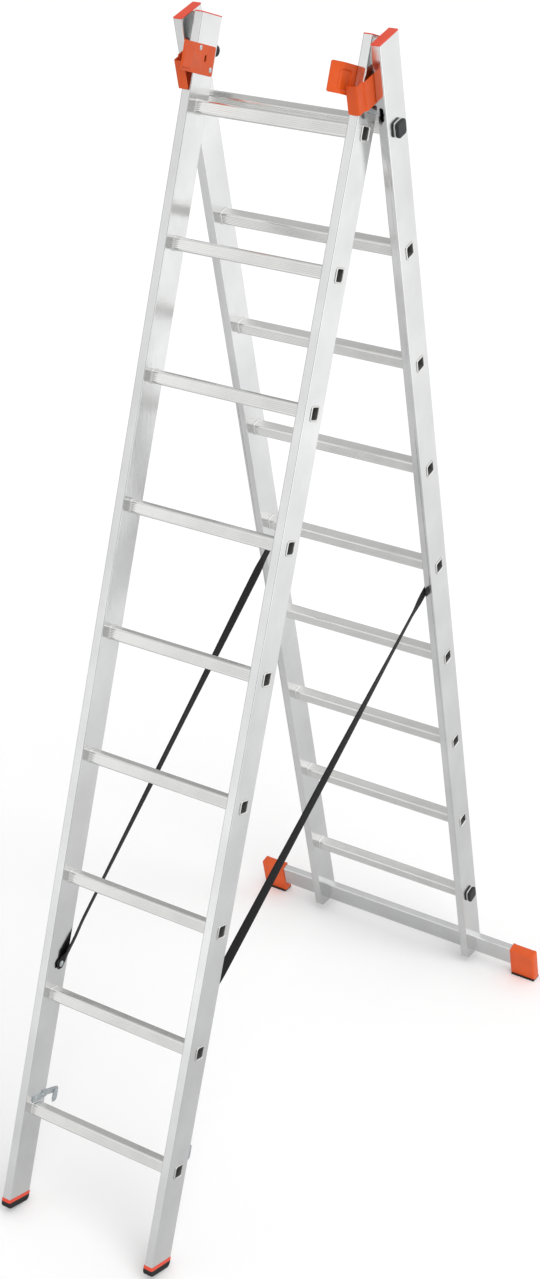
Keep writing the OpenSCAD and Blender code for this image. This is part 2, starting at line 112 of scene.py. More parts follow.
class Nodes:
    """A short way to write a material's node tree."""

    def __init__(self, name):
        self.material = bpy.data.materials.new(name)
        self.material.use_nodes = True
        self.tree = self.material.node_tree
        self.shader = self.tree.nodes["Principled BSDF"]

    def add(self, kind, inputs=None, **settings):
        """Adds a node. inputs holds values or other nodes' sockets by input name or number."""
        made = self.tree.nodes.new("ShaderNode" + kind)
        for key, value in settings.items():
            setattr(made, key, value)
        for key, value in (inputs or {}).items():
            self.feed(made.inputs[key], value)
        return made

    def feed(self, socket, value):
        if isinstance(value, bpy.types.NodeSocket):
            self.tree.links.new(value, socket)
        else:
            socket.default_value = value

    def set(self, **inputs):
        for key, value in inputs.items():
            self.feed(self.shader.inputs[key.replace("_", " ").title()], value)

    def place(self, turn=0.0, stretch=(1, 1, 1), coordinate="Object"):
        """Texture coordinates, turned about X and stretched."""
        source = self.add("TexCoord").outputs[coordinate]
        return self.add(
            "Mapping",
            {"Vector": source, "Rotation": (turn, 0, 0), "Scale": stretch},
        ).outputs["Vector"]

    def noise(self, vector, scale, detail=3.0, rough=0.55):
        inputs = {"Vector": vector, "Scale": scale, "Detail": detail, "Roughness": rough}
        return self.add("TexNoise", inputs).outputs["Fac"]

    def ramp(self, value, low, high, to_low=0.0, to_high=1.0):
        inputs = {0: value, 1: low, 2: high, 3: to_low, 4: to_high}
        return self.add("MapRange", inputs).outputs[0]

    def math(self, operation, a, b=0.0):
        return self.add("Math", {0: a, 1: b}, operation=operation).outputs[0]

    def blend(self, factor, a, b, kind="MIX"):
        made = self.add("Mix", data_type="RGBA", blend_type=kind)
        self.feed(made.inputs[0], factor)
        self.feed(made.inputs[6], a)
        self.feed(made.inputs[7], b)
        return made.outputs[2]

    def bump(self, height, strength, distance=0.001, under=None):
        inputs = {"Height": height, "Strength": strength, "Distance": distance}
        if under is not None:
            inputs["Normal"] = under
        return self.add("Bump", inputs).outputs["Normal"]


def rgb(red, green, blue):
    return (red, green, blue, 1.0)


def aluminium(name, turn, tone, lines_along="z"):
    """Mill-finished extrusion: die lines along its length, soft clouding, fine scratches."""
    n = Nodes(name)
    long = 0.02
    stretch = (1, 1, long) if lines_along == "z" else (long, 1, 1)
    along = n.place(turn, stretch)
    plain = n.place(turn)
    lines = n.noise(along, 900, 2)
    broad = n.noise(along, 130, 2)
    clouds = n.noise(plain, 7, 4)
    scuffs = n.ramp(n.noise(n.place(turn + 0.6, (1, 0.05, 1)), 420, 3, 0.7), 0.66, 0.74)
    light = rgb(*tone)
    dull = rgb(*[c * 0.84 for c in tone])
    mixed = n.blend(n.ramp(clouds, 0.3, 0.7), light, dull)
    mixed = n.blend(n.ramp(lines, 0.35, 0.65, 0.0, 0.35), mixed, dull)
    rough = n.ramp(clouds, 0.3, 0.7, 0.09, 0.20)
    rough = n.math("ADD", rough, n.ramp(lines, 0.3, 0.7, -0.03, 0.05))
    rough = n.math("ADD", rough, n.math("MULTIPLY", scuffs, 0.08))
    height = n.math("ADD", lines, n.math("MULTIPLY", broad, 1.5))
    n.set(base_color=mixed, metallic=1.0, roughness=rough)
    n.set(normal=n.bump(height, 0.10, 0.0006, n.bump(scuffs, 0.05, 0.0003)))
    return n.material


def painted_steel(name):
    """Orange powder coat with orange peel, and paler chips scattered over it where it has worn."""
    n = Nodes(name)
    spot = n.place()
    peel = n.noise(spot, 1100, 2)
    clouds = n.noise(spot, 18, 3)
    chips = n.ramp(n.noise(spot, 260, 4, 0.7), 0.70, 0.73)
    colour = n.blend(n.ramp(clouds, 0.3, 0.7), rgb(0.69, 0.085, 0.004), rgb(0.61, 0.070, 0.003))
    colour = n.blend(n.math("MULTIPLY", chips, 0.5), colour, rgb(0.84, 0.22, 0.09))
    n.set(base_color=colour, roughness=n.ramp(clouds, 0.2, 0.8, 0.34, 0.48))
    n.feed(n.shader.inputs["Specular IOR Level"], 0.35)
    n.set(coat_weight=0.05, coat_roughness=0.3, normal=n.bump(peel, 0.12, 0.0004))
    return n.material


def moulded(name, colour, shade, rough, grain=1600, strength=0.12):
    """Moulded plastic or rubber with a fine eroded grain."""
    n = Nodes(name)
    spot = n.place()
    fine = n.noise(spot, grain, 2)
    clouds = n.noise(spot, 24, 4)
    scuffs = n.ramp(n.noise(n.place(0.4, (1, 0.2, 1)), 180, 4, 0.7), 0.64, 0.72)
    mixed = n.blend(n.ramp(clouds, 0.3, 0.7), rgb(*colour), rgb(*shade))
    pale = rgb(*[min(1.0, c * 1.5 + 0.02) for c in colour])
    mixed = n.blend(n.math("MULTIPLY", scuffs, 0.35), mixed, pale)
    n.set(base_color=mixed, roughness=n.ramp(clouds, 0.2, 0.8, rough - 0.06, rough + 0.08))
    n.set(normal=n.bump(fine, strength, 0.0004))
    return n.material


def zinc(name, tone):
    """Zinc plate: a fine spangle, with a hint of colour from its passivation."""
    n = Nodes(name)
    spot = n.place()
    cells = n.add("TexVoronoi", {"Vector": spot, "Scale": 240.0}).outputs["Distance"]
    clouds = n.noise(spot, 60, 4)
    colour = n.blend(n.ramp(clouds, 0.35, 0.65), rgb(*tone), rgb(0.60, 0.65, 0.66))
    colour = n.blend(n.ramp(cells, 0.2, 0.7, 0.0, 0.4), colour, rgb(0.44, 0.50, 0.53))
    n.set(base_color=colour, metallic=1.0, roughness=n.ramp(clouds, 0.3, 0.7, 0.25, 0.42))
    n.set(normal=n.bump(cells, 0.06, 0.0004))
    return n.material


def webbing(name):
    """Black woven webbing: ribs along its length crossed by a diagonal weave, from the mesh's UVs."""
    n = Nodes(name)
    uv = n.add("UVMap", uv_map="weave").outputs["UV"]
    ribs = n.add("TexWave", {"Vector": uv, "Scale": 3.2, "Distortion": 0.15}).outputs["Fac"]
    picks = n.add(
        "TexWave",
        {"Vector": uv, "Scale": 2.6, "Distortion": 0.2},
        bands_direction="DIAGONAL",
    ).outputs["Fac"]
    weave = n.math("MULTIPLY", ribs, picks)
    fuzz = n.noise(n.place(), 900, 3)
    colour = n.blend(weave, rgb(0.003, 0.003, 0.004), rgb(0.011, 0.011, 0.012))
    colour = n.blend(n.ramp(fuzz, 0.55, 0.8, 0.0, 0.25), colour, rgb(0.05, 0.05, 0.05))
    n.set(base_color=colour, roughness=n.ramp(fuzz, 0.3, 0.7, 0.62, 0.82))
    n.feed(n.shader.inputs["Specular IOR Level"], 0.3)
    n.set(sheen_weight=0.05, sheen_roughness=0.4)
    n.set(normal=n.bump(weave, 0.5, 0.0005, n.bump(fuzz, 0.2, 0.0003)))
    return n.material


ALUMINIUM_TONE = (0.91, 0.915, 0.915)
LOOKS = {
    # The rungs' bores are painted dark grey: painted shade inside the aluminium tube, which is bare
    # metal all through.
    "painted_shade_bore": moulded("painted_shade_bore", (0.07, 0.07, 0.07), (0.11, 0.11, 0.11), 0.6),
    "front_aluminium": aluminium("front_aluminium", LEAN, ALUMINIUM_TONE),
    "back_aluminium": aluminium("back_aluminium", -LEAN, ALUMINIUM_TONE),
    "rung_aluminium": aluminium("rung_aluminium", 0.0, (0.93, 0.93, 0.91), "x"),
    "bar_aluminium": aluminium("bar_aluminium", -LEAN, ALUMINIUM_TONE, "x"),
    "orange_steel": painted_steel("orange_steel"),
    "orange_plastic": moulded(
        "orange_plastic", (0.76, 0.100, 0.010), (0.68, 0.084, 0.008), 0.42
    ),
    "red_plastic": moulded("red_plastic", (0.78, 0.068, 0.026), (0.71, 0.058, 0.022), 0.42),
    "black_rubber": moulded(
        "black_rubber", (0.012, 0.012, 0.013), (0.019, 0.018, 0.018), 0.72, 900, 0.3
    ),
    "black_plastic": moulded(
        "black_plastic", (0.012, 0.013, 0.015), (0.018, 0.019, 0.020), 0.52
    ),
    "black_webbing": webbing("black_webbing"),
    "rivet_steel": zinc("rivet_steel", (0.78, 0.79, 0.80)),
    "zinc_steel": zinc("zinc_steel", (0.70, 0.73, 0.76)),
}

# ---- mesh helpers -------------------------------------------------------


def finish_mesh(shape, name, kind, look, stands_for=(), move=None, crease=38):
    """Makes a shown piece of a bmesh drawn in a section's frame in millimetres."""
    look, *more_looks = look if isinstance(look, tuple) else (look,)
    bmesh.ops.remove_doubles(shape, verts=shape.verts, dist=0.001)
    bmesh.ops.recalc_face_normals(shape, faces=shape.faces)
    bmesh.ops.scale(shape, vec=(MM, MM, MM), verts=shape.verts)
    mesh = bpy.data.meshes.new(name)
    shape.to_mesh(mesh)
    shape.free()
    mesh.shade_smooth()
    mesh.set_sharp_from_angle(angle=math.radians(crease))
    for used in (look, *more_looks):
        mesh.materials.append(LOOKS[used])
    return show(mesh, name, kind, stands_for, move)


def show(mesh, name, kind, stands_for=(), move=None):
    piece = bpy.data.objects.new(name, mesh)
    bpy.context.scene.collection.objects.link(piece)
    piece.matrix_world = section(kind) @ (move or Matrix.Identity(4))
    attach(piece, body(kind))
    if stands_for:
        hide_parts(*stands_for)
    return piece


def loft(shape, rings, closed=False, caps=True):
    """Skins rings of points that correspond one to one."""
    made = [[shape.verts.new(p) for p in ring] for ring in rings]
    count = len(rings[0])
    spans = list(zip(made, made[1:]))
    if closed:
        spans.append((made[-1], made[0]))
    for low, high in spans:
        for i in range(count):
            j = (i + 1) % count
            shape.faces.new((low[i], low[j], high[j], high[i]))
    if caps and not closed:
        shape.faces.new(made[0])
        shape.faces.new(made[-1])


def rounded_rect(w, h, r, steps=5):
    """Points round a rounded rectangle centred on the origin."""
    r = max(0.01, min(r, w / 2 - 0.01, h / 2 - 0.01))
    points = []
    for corner, (sx, sy) in enumerate([(1, 1), (-1, 1), (-1, -1), (1, -1)]):
        for step in range(steps + 1):
            a = math.pi / 2 * (corner + step / steps)
            x = sx * (w / 2 - r) + r * math.cos(a)
            y = sy * (h / 2 - r) + r * math.sin(a)
            points.append((x, y))
    return points


def plan_loft(shape, centre, stations, w, h, r):
    """Lofts rounded rectangles in the (x, y) plane. stations holds (height, inset) pairs."""
    rings = []
    for z, inset in stations:
        flat = rounded_rect(w - 2 * inset, h - 2 * inset, max(0.3, r - inset))
        rings.append([(centre[0] + x, centre[1] + y, z) for x, y in flat])
    loft(shape, rings)


def lathe(shape, outline, place, steps=24):
    """Turns (radius, height) pairs about an axis; place maps (x, y, z), with z along the axis."""
    rings = []
    for radius, height in outline:
        ring = []
        for step in range(steps):
            a = 2 * math.pi * step / steps
            ring.append(place @ Vector((radius * math.cos(a), radius * math.sin(a), height)))
        rings.append(ring)
    loft(shape, rings)


def towards_x(x, y, z, sign=1):
    """A place at (x, y, z) whose own z axis points along sign times x."""
    return Matrix.Translation((x, y, z)) @ Matrix.Rotation(sign * math.pi / 2, 4, "Y")


def cut_at_floor(shape, kind, level):
    """Cuts a section's shape flat at a level above the floor."""
    to_row = section(kind)
    back = to_row.inverted()
    point = (back @ Vector((0, MIDDLE_Y * MM, level * MM))) / MM
    normal = back.to_3x3() @ Vector((0, 0, 1))
    geometry = shape.verts[:] + shape.edges[:] + shape.faces[:]
    cut = bmesh.ops.bisect_plane(
        shape, geom=geometry, plane_co=point, plane_no=normal, clear_inner=True
    )
    edges = [e for e in cut["geom_cut"] if isinstance(e, bmesh.types.BMEdge)]
    bmesh.ops.holes_fill(shape, edges=edges)


# ---- rungs --------------------------------------------------------------

GROOVE = 0.35
# Faces inside BORE_HALF take the painted shade of the bore.
BORE_HALF = 12.5  # the rung's bore and the root of its flare are within this
GROOVES = (-7.2, -3.6, 0.0, 3.6, 7.2)


def rung_ring(x, half, depth):
    """One cross-section of a rung: rounded corners, and grooves of that depth on its four sides."""
    radius = half - RUNG_FLAT
    ring = []
    for quarter in range(4):
        turn = quarter * math.pi / 2
        side = []
        for groove in GROOVES:
            lips = ((-0.9, 0), (-0.5, 1), (0.5, 1), (0.9, 0))
            side += [(groove + u, half - share * depth) for u, share in lips]
        for step in range(6):
            a = math.pi / 2 * (1 - step / 5)
            side.append((RUNG_FLAT + radius * math.cos(a), RUNG_FLAT + radius * math.sin(a)))
        for u, v in side:
            y = u * math.cos(turn) + v * math.sin(turn)
            z = v * math.cos(turn) - u * math.sin(turn)
            ring.append((x, y, z))
    return ring


def rung_mesh(kind):
    """A ribbed tube with a rolled bead inside each stile and a flared rim outside."""
    inner, outer = IN_OUT[kind]
    outside = [(inner - 4.4, 14, GROOVE), (inner - 3.6, 14, 0), (inner - 3.0, 14.1, 0)]
    outside += [(inner - 2.6, 14.9, 0), (inner - 2.0, 15.5, 0), (inner - 1.3, 15.8, 0)]
    outside += [(inner - 0.6, 15.8, 0), (inner - 0.1, 15.5, 0), (inner - 0.05, 14, 0)]
    outside += [(outer + 0.05, 14, 0), (outer + 0.1, 16.4, 0), (outer + 0.6, 16.8, 0)]
    outside += [(outer + 1.3, 16.7, 0), (outer + 1.9, 16.0, 0), (outer + 2.1, 14.9, 0)]
    outside += [(outer + 1.9, 13.7, 0), (outer + 1.2, 12.8, 0), (outer + 0.2, 12.4, 0)]
    outside += [(outer - 4.0, 12.2, 0)]
    path = [(-x, half, depth) for x, half, depth in reversed(outside)] + outside
    shape = bmesh.new()
    loft(shape, [rung_ring(*station) for station in path], closed=True)
    for face in shape.faces:
        # The bore's faces take the second look, a dark grey that paints shade inside the tube.
        if all(max(abs(v.co.y), abs(v.co.z)) < BORE_HALF for v in face.verts):
            face.material_index = 1
    return shape


def rungs(kind):
    first = None
    for i in range(RUNGS):
        node = f"{kind}_rung_{i + 1}"
        height = (RUNG_FIRST + i * RUNG_PITCH) * MM
        move = Matrix.Translation((0, RUNG_BACK * MM, height))
        name = node + "_ribbed"
        if first is None:
            # The second look is the painted shade inside the bore.
            looks = ("rung_aluminium", "painted_shade_bore")
            first = finish_mesh(rung_mesh(kind), name, kind, looks, [node], move).data
        else:
            show(first, name, kind, [node], move)


# ---- caps, feet, shoes and plugs ----------------------------------------


def stile_caps():
    """Thin plates on the stiles' ends, each with a plug inside the tube."""
    lip = 0.3
    for kind, (inner, outer) in IN_OUT.items():
        for side, sign in SIDES.items():
            shape = bmesh.new()
            centre = (sign * (inner + outer) / 2, 0)
            stations = [(-20, 3.0), (-19, 2.2), (0.04, 2.2), (0.05, 0.5), (0.3, 0.1)]
            stations += [(0.6, 0), (1.7, 0), (2.1, 0.15), (2.4, 0.5), (2.5, 1.0)]
            levels = [(STILE_TOP[kind] + z, inset) for z, inset in stations]
            plan_loft(shape, centre, levels, STILE_T + 2 * lip, STILE_D + 2 * lip, 2.8)
            node = f"{kind}_cap_{side}"
            finish_mesh(shape, node + "_moulded", kind, "red_plastic", [node])


def front_feet():
    inner, outer = IN_OUT["front"]
    w, d = STILE_T + 3, STILE_D + 3
    for side, sign in SIDES.items():
        centre = (sign * (inner + outer) / 2, 0)
        collar = bmesh.new()
        stations = [(23.55, 0.4), (23.9, 0), (30.0, 0), (30.7, 0.3), (31.0, 0.9)]
        plan_loft(collar, centre, stations, w, d, 4)
        node = f"front_foot_{side}"
        finish_mesh(
            collar, node + "_collar", "front", "red_plastic", [node]
        )
        sole = bmesh.new()
        rings = []
        low, roll = 7.5, 12
        for z in (7.5, 8, 8.8, 10, 11.5, 13.5, 15.8, 16.2, 17.4, 17.8, 20, 23.1, 23.5):
            drop = max(0.0, low + roll - z)
            inset_y = roll - math.sqrt(max(0.0, roll * roll - drop * drop))
            inset_x = 1.8 * max(0.0, (low + 2.5 - z) / 2.5) ** 2
            groove = 0.8 if 16 < z < 17.6 else 0.0
            top = 0.4 if z > 23.3 else 0.0
            inset = groove + top
            flat = rounded_rect(w - 2 * (inset_x + inset), d - 2 * (inset_y + inset), 4)
            rings.append([(centre[0] + x, centre[1] + y, z) for x, y in flat])
        loft(sole, rings)
        cut_at_floor(sole, "front", 0)
        node = f"front_sole_{side}"
        finish_mesh(sole, node + "_rubber", "front", "black_rubber", [node])


SHOE_LOW = 5.5  # the shoe's skirt comes down over its rubber to here


def bar_shoes():
    low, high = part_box("bar_shoe_right")
    x0, x1 = low.x / MM, high.x / MM
    wall = 4
    top = BAR_LOW + BAR_H + wall
    tall = 2 * top
    for side, sign in SIDES.items():
        shape = bmesh.new()
        stations = [(x0, 1.0), (x0 + 0.3, 0.3), (x0 + 0.9, 0), (x0 + 6, 0), (x0 + 6.6, 0.7)]
        stations += [(x1 - 9, 0.7), (x1 - 8.4, 0), (x1 - 5, 0.2), (x1 - 2.8, 1.0)]
        stations += [(x1 - 1.4, 2.2), (x1 - 0.5, 4.2), (x1, 8.0)]
        rings = []
        for x, inset in stations:
            flat = rounded_rect(BAR_D + 2 * (wall - inset), tall - 2 * inset, 4 - inset / 2)
            rings.append([(sign * x, y, z + top - tall / 2) for y, z in flat])
        loft(shape, rings)
        cut_at_floor(shape, "back", SHOE_LOW)
        node = f"bar_shoe_{side}"
        finish_mesh(shape, node + "_moulded", "back", "orange_plastic", [node])


def bar_soles():
    """Rubber pads with notched long sides. They are level, so they are drawn in the row frame."""
    for side in SIDES:
        node = f"bar_sole_{side}"
        low, high = (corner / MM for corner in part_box(node))
        centre = (low + high) / 2
        w, d = high.x - low.x, high.y - low.y
        notches = 7
        pitch = w / (notches + 1)
        ring = []
        for sign in (1, -1):
            for i in range(notches + 1):
                x = -sign * (w / 2 - (i + 0.5) * pitch)
                lips = ((-0.30, 0), (0.30, 0), (0.36, 1.2), (0.64, 1.2))
                for u, depth in lips:
                    if i == notches and depth:
                        continue
                    ring.append((x + sign * u * pitch, -sign * (d / 2 - depth)))
        shape = bmesh.new()
        rings = []
        for z, inset in ((0, 0.5), (0.5, 0), (4.8, 0), (5.4, 0.6), (5.7, 3.0), (7.0, 3.2)):
            kx, ky = 1 - 2 * inset / w, 1 - 2 * inset / d
            rings.append([(centre.x + x * kx, centre.y + y * ky, z) for x, y in ring])
        loft(shape, rings)
        piece = finish_mesh(shape, node + "_rubber", "back", "black_rubber", [node])
        piece.matrix_world = Matrix.Identity(4)


def rung_plugs():
    outer = IN_OUT["back"][1]
    shape = bmesh.new()
    for sign in SIDES.values():
        for height in (RUNG_FIRST, RUNG_FIRST + (RUNGS - 1) * RUNG_PITCH):
            stations = [(2.05, 1.6), (2.4, 1.0), (3.2, 1.0), (3.5, 0.3), (4.0, 0), (8.4, 0)]
            stations += [(9.3, 0.5), (9.8, 1.4), (10, 3.0)]
            rings = []
            for x, inset in stations:
                flat = rounded_rect(33 - 2 * inset, 33 - 2 * inset, 7 - inset / 2)
                place = Vector((sign * (outer + x), RUNG_BACK, height))
                rings.append([place + Vector((0, y, z)) for y, z in flat])
            loft(shape, rings)
    finish_mesh(
        shape, "rung_plugs_moulded", "back", "black_plastic", ["rung_plugs"]
    )


# ---- pressed brackets ---------------------------------------------------


def bent_line(pieces, u):
    """Where a bent line is at distance u, and its heading there. It starts at the origin along
    -y; pieces holds (length, turn) pairs, and a positive turn is towards the ladder's middle."""
    x = y = heading = 0.0
    for length, turn in pieces:
        part = min(u, length)
        swing = turn * part / length
        chord = part if not swing else 2 * part / swing * math.sin(swing / 2)
        x -= chord * math.sin(heading + swing / 2)
        y -= chord * math.cos(heading + swing / 2)
        heading += swing
        u -= part
        if u <= 0:
            break
    return x, y, heading


def bend(radius, degrees):
    """An arc of a bent line: its length and turn, and how much it shortens the straights."""
    turn = math.radians(degrees)
    return (radius * abs(turn), turn), radius * math.tan(abs(turn) / 2)


def blank(length, low, high, corner, holes):
    """A flat sheet with rounded corners and holes, as a bmesh in the (u, v) plane."""
    flat = bmesh.new()
    middle = Vector((length / 2, (low + high) / 2, 0))
    edge = [Vector((x, y, 0)) + middle for x, y in rounded_rect(length, high - low, corner, 4)]
    for line in [edge, *holes]:
        points = [flat.verts.new(p) for p in line]
        for a, b in zip(points, points[1:] + points[:1]):
            flat.edges.new((a, b))
    bmesh.ops.triangle_fill(flat, use_beauty=True, use_dissolve=False, edges=flat.edges[:])
    return flat


def slice_at(flat, axis, places):
    normal = Vector((1, 0, 0)) if axis == "u" else Vector((0, 1, 0))
    for place in places:
        everything = flat.verts[:] + flat.edges[:] + flat.faces[:]
        bmesh.ops.bisect_plane(flat, geom=everything, plane_co=normal * place, plane_no=normal)


def press(flat, pieces, start, sign, sunk):
    """Bends a blank along a line and gives it its thickness. sunk(u, v) is the depth pressed in."""
    shape = bmesh.new()
    layers = []
    for depth in (0, SHEET):
        layer = {}
        for v in flat.verts:
            x, y, heading = bent_line(pieces, v.co.x)
            inwards = depth + sunk(v.co.x, v.co.y)
            x += start[0] - inwards * math.cos(heading)
            y += start[1] + inwards * math.sin(heading)
            layer[v] = shape.verts.new((sign * x, y, v.co.y))
        layers.append(layer)
    outer, inner = layers
    for face in flat.faces:
        shape.faces.new([outer[v] for v in face.verts])
        shape.faces.new([inner[v] for v in reversed(face.verts)])
    for side in flat.edges:
        if side.is_boundary:
            a, b = side.verts
            shape.faces.new((outer[a], outer[b], inner[b], inner[a]))
    return shape


def arc_cuts(pieces, steps=6):
    """Distances at which a blank is sliced so that it can follow its bends."""
    cuts, u = [], 0.0
    for length, turn in pieces:
        if turn:
            cuts += [u + length * i / steps for i in range(steps + 1)]
        u += length
    return cuts


def soften(piece, width, weld=False):
    """Rounds the sharp edges of a piece. A carried-over node's split corners are welded first."""
    if weld:
        piece.modifiers.new("weld", "WELD").merge_threshold = 0.00001
    bevel = piece.modifiers.new("soft_edges", "BEVEL")
    bevel.width = width * MM
    bevel.segments = 2
    bevel.limit_method = "ANGLE"
    bevel.angle_limit = math.radians(40)
    bevel.harden_normals = True


def front_brackets():
    """Plates on the front stiles, with a panel pressed in across the bend of the flared wing."""
    low, high = 2554, 2614
    rear, reach, wing = 30, 89, 29
    arc, taken = bend(6, 34)
    pieces = [(rear + reach - taken, 0), arc, (wing - taken, 0)]
    bend_u = rear + reach
    slot_u, slot_v = rear + 4, 2587
    slot = [Vector((slot_u + y, slot_v + z, 0)) for y, z in rounded_rect(7, 14, 3, 4)]
    panel_u, panel_v = (bend_u - 38, bend_u + 9), (low + 5, high - 12)
    corner, border, deep = 9, 2.6, 2.6

    def sunk(u, v):
        """The panel is a rounded rectangle whose border slopes over its own width."""
        off = []
        for value, (start, end) in ((u, panel_u), (v, panel_v)):
            off.append(abs(value - (start + end) / 2) - (end - start) / 2 + corner)
        outside = math.hypot(max(off[0], 0), max(off[1], 0)) + min(max(off), 0) - corner
        t = min(1.0, max(0.0, -outside / border))
        return deep * t * t * (3 - 2 * t)

    near = [border * i / 4 for i in range(5)] + [border + 3, border + 7]
    for side, sign in SIDES.items():
        flat = blank(sum(length for length, _ in pieces), low, high, 4, [slot])
        edges_u = [panel_u[0] + d for d in near] + [panel_u[1] - d for d in near]
        slice_at(flat, "u", arc_cuts(pieces) + edges_u)
        slice_at(flat, "v", [panel_v[0] + d for d in near] + [panel_v[1] - d for d in near])
        shape = press(flat, pieces, (IN_OUT["front"][0] - 0.05, rear), sign, sunk)
        flat.free()
        node = f"front_bracket_{side}"
        piece = finish_mesh(
            shape, node + "_pressed", "front", "orange_steel", [node]
        )
        soften(piece, 0.5)


def guide_brackets():
    """Arms on the back stiles. Each steps inwards ahead of the stile and ends in a lip."""
    low, high = 2560, 2621
    rear, step_at, reach, lip, step = 8, 70, 95, 25, 5
    first, taken = bend(5, 45)
    last, taken_last = bend(6, 90)
    slant = step * math.sqrt(2) - 2 * taken
    ahead = reach - step_at - step - taken - taken_last
    pieces = [(rear + step_at - taken, 0), first, (slant, 0), (first[0], -first[1])]
    pieces += [(ahead, 0), last, (lip - taken_last, 0)]
    for side, sign in SIDES.items():
        flat = blank(sum(length for length, _ in pieces), low, high, 4, [])
        slice_at(flat, "u", arc_cuts(pieces))
        inner = IN_OUT["back"][0] - 0.05
        shape = press(flat, pieces, (inner, rear), sign, lambda u, v: 0.0)
        flat.free()
        node = f"guide_bracket_{side}"
        piece = finish_mesh(
            shape, node + "_pressed", "back", "orange_steel", [node]
        )
        soften(piece, 0.5)


# ---- rivets, stops and straps -------------------------------------------


def rivet_outline(head, grip):
    """Blind rivet: dimpled dome, shank through the grip, formed tail. Radii and heights."""
    outline = [(0.3, 0.7), (1.2, 0.8), (1.4, 1.6), (1.8, 1.8), (2.8, 1.6), (head - 1.2, 1.0)]
    outline += [(head - 0.3, 0.45), (head, 0.2), (head - 0.2, 0.0), (3, 0)]
    return outline + [(3, -grip), (4, -grip), (4.2, -grip - 0.8), (3.2, -grip - 2), (0.3, -grip - 2)]


def washer_outline(radius, low, high):
    return [
        (3, low), (radius - 0.3, low), (radius, low + 0.25), (radius, high - 0.25),
        (radius - 0.3, high), (3, high),
    ]


def rivets(node, kind, places, stands_off, washers=()):
    """Rivets through a web into its stile, at (y, z) places, heads towards the middle."""
    shape = bmesh.new()
    inner = IN_OUT[kind][0]
    for sign in SIDES.values():
        for y, z in places:
            place = towards_x(sign * (inner - stands_off), y, z, -sign)
            lathe(shape, rivet_outline(5.5, stands_off + 1.7), place)
            for radius, low, high in washers:
                lathe(shape, washer_outline(radius, low, high), place, 32)
    finish_mesh(shape, node + "_formed", kind, "rivet_steel", [node])


def stop_buffers():
    """Rubber buffers with a crowned end, a groove round the middle and a flange at the web."""
    low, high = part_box("stop_buffers")
    centre = section("back").inverted() @ ((low + high) / 2) / MM
    shape = bmesh.new()
    inner = IN_OUT["back"][0]
    outline = [(0.5, 28.0), (4, 27.8), (8, 27.0), (10.6, 25.6), (11.7, 24.2), (12, 22.6)]
    outline += [(12, 15.5), (11.2, 15.0), (11.2, 13.4), (12, 12.9), (12, 0.3), (11.7, 0.05)]
    outline += [(3, 0.05), (3, -3.5), (0.5, -3.5)]
    for sign in SIDES.values():
        lathe(shape, outline, towards_x(sign * inner, centre.y, centre.z, -sign), 32)
    finish_mesh(
        shape, "stop_buffers_moulded", "back", "black_rubber", ["stop_buffers"]
    )


STRAP_HALF = 12.5
STRAP_THICK = 2
STRAP_OFF = 3.5  # strap centre to web face at both anchors
STRAP_END = 14  # strap beyond each rivet
# How far the webbing is twisted, in degrees, at millimetres from its lower rivet. A strap that
# was riveted flat at both ends doesn't lie flat between them.
STRAP_FOOT = ((0, 0), (8, 0))
STRAP_TOP = ((1060, -15), (1112, 0), (1140, 0))
STRAP_TWIST = {
    "left": STRAP_FOOT + ((24, 18), (120, 18), (570, 6)) + STRAP_TOP,
    "right": STRAP_FOOT + ((30, 24), (120, 24), (570, 8)) + STRAP_TOP,
}
# Where it twists beside a stile it stands off the web by this much
STRAP_STAND = ((8, 0), (24, 2.5), (60, 2.5), (120, 0))


def eased(keys, at):
    """Value at a distance, easing in and out between (distance, value) keys."""
    if at <= keys[0][0]:
        return keys[0][1]
    for (a, low), (b, high) in zip(keys, keys[1:]):
        if at <= b:
            t = (at - a) / (b - a)
            return low + (high - low) * t * t * (3 - 2 * t)
    return keys[-1][1]


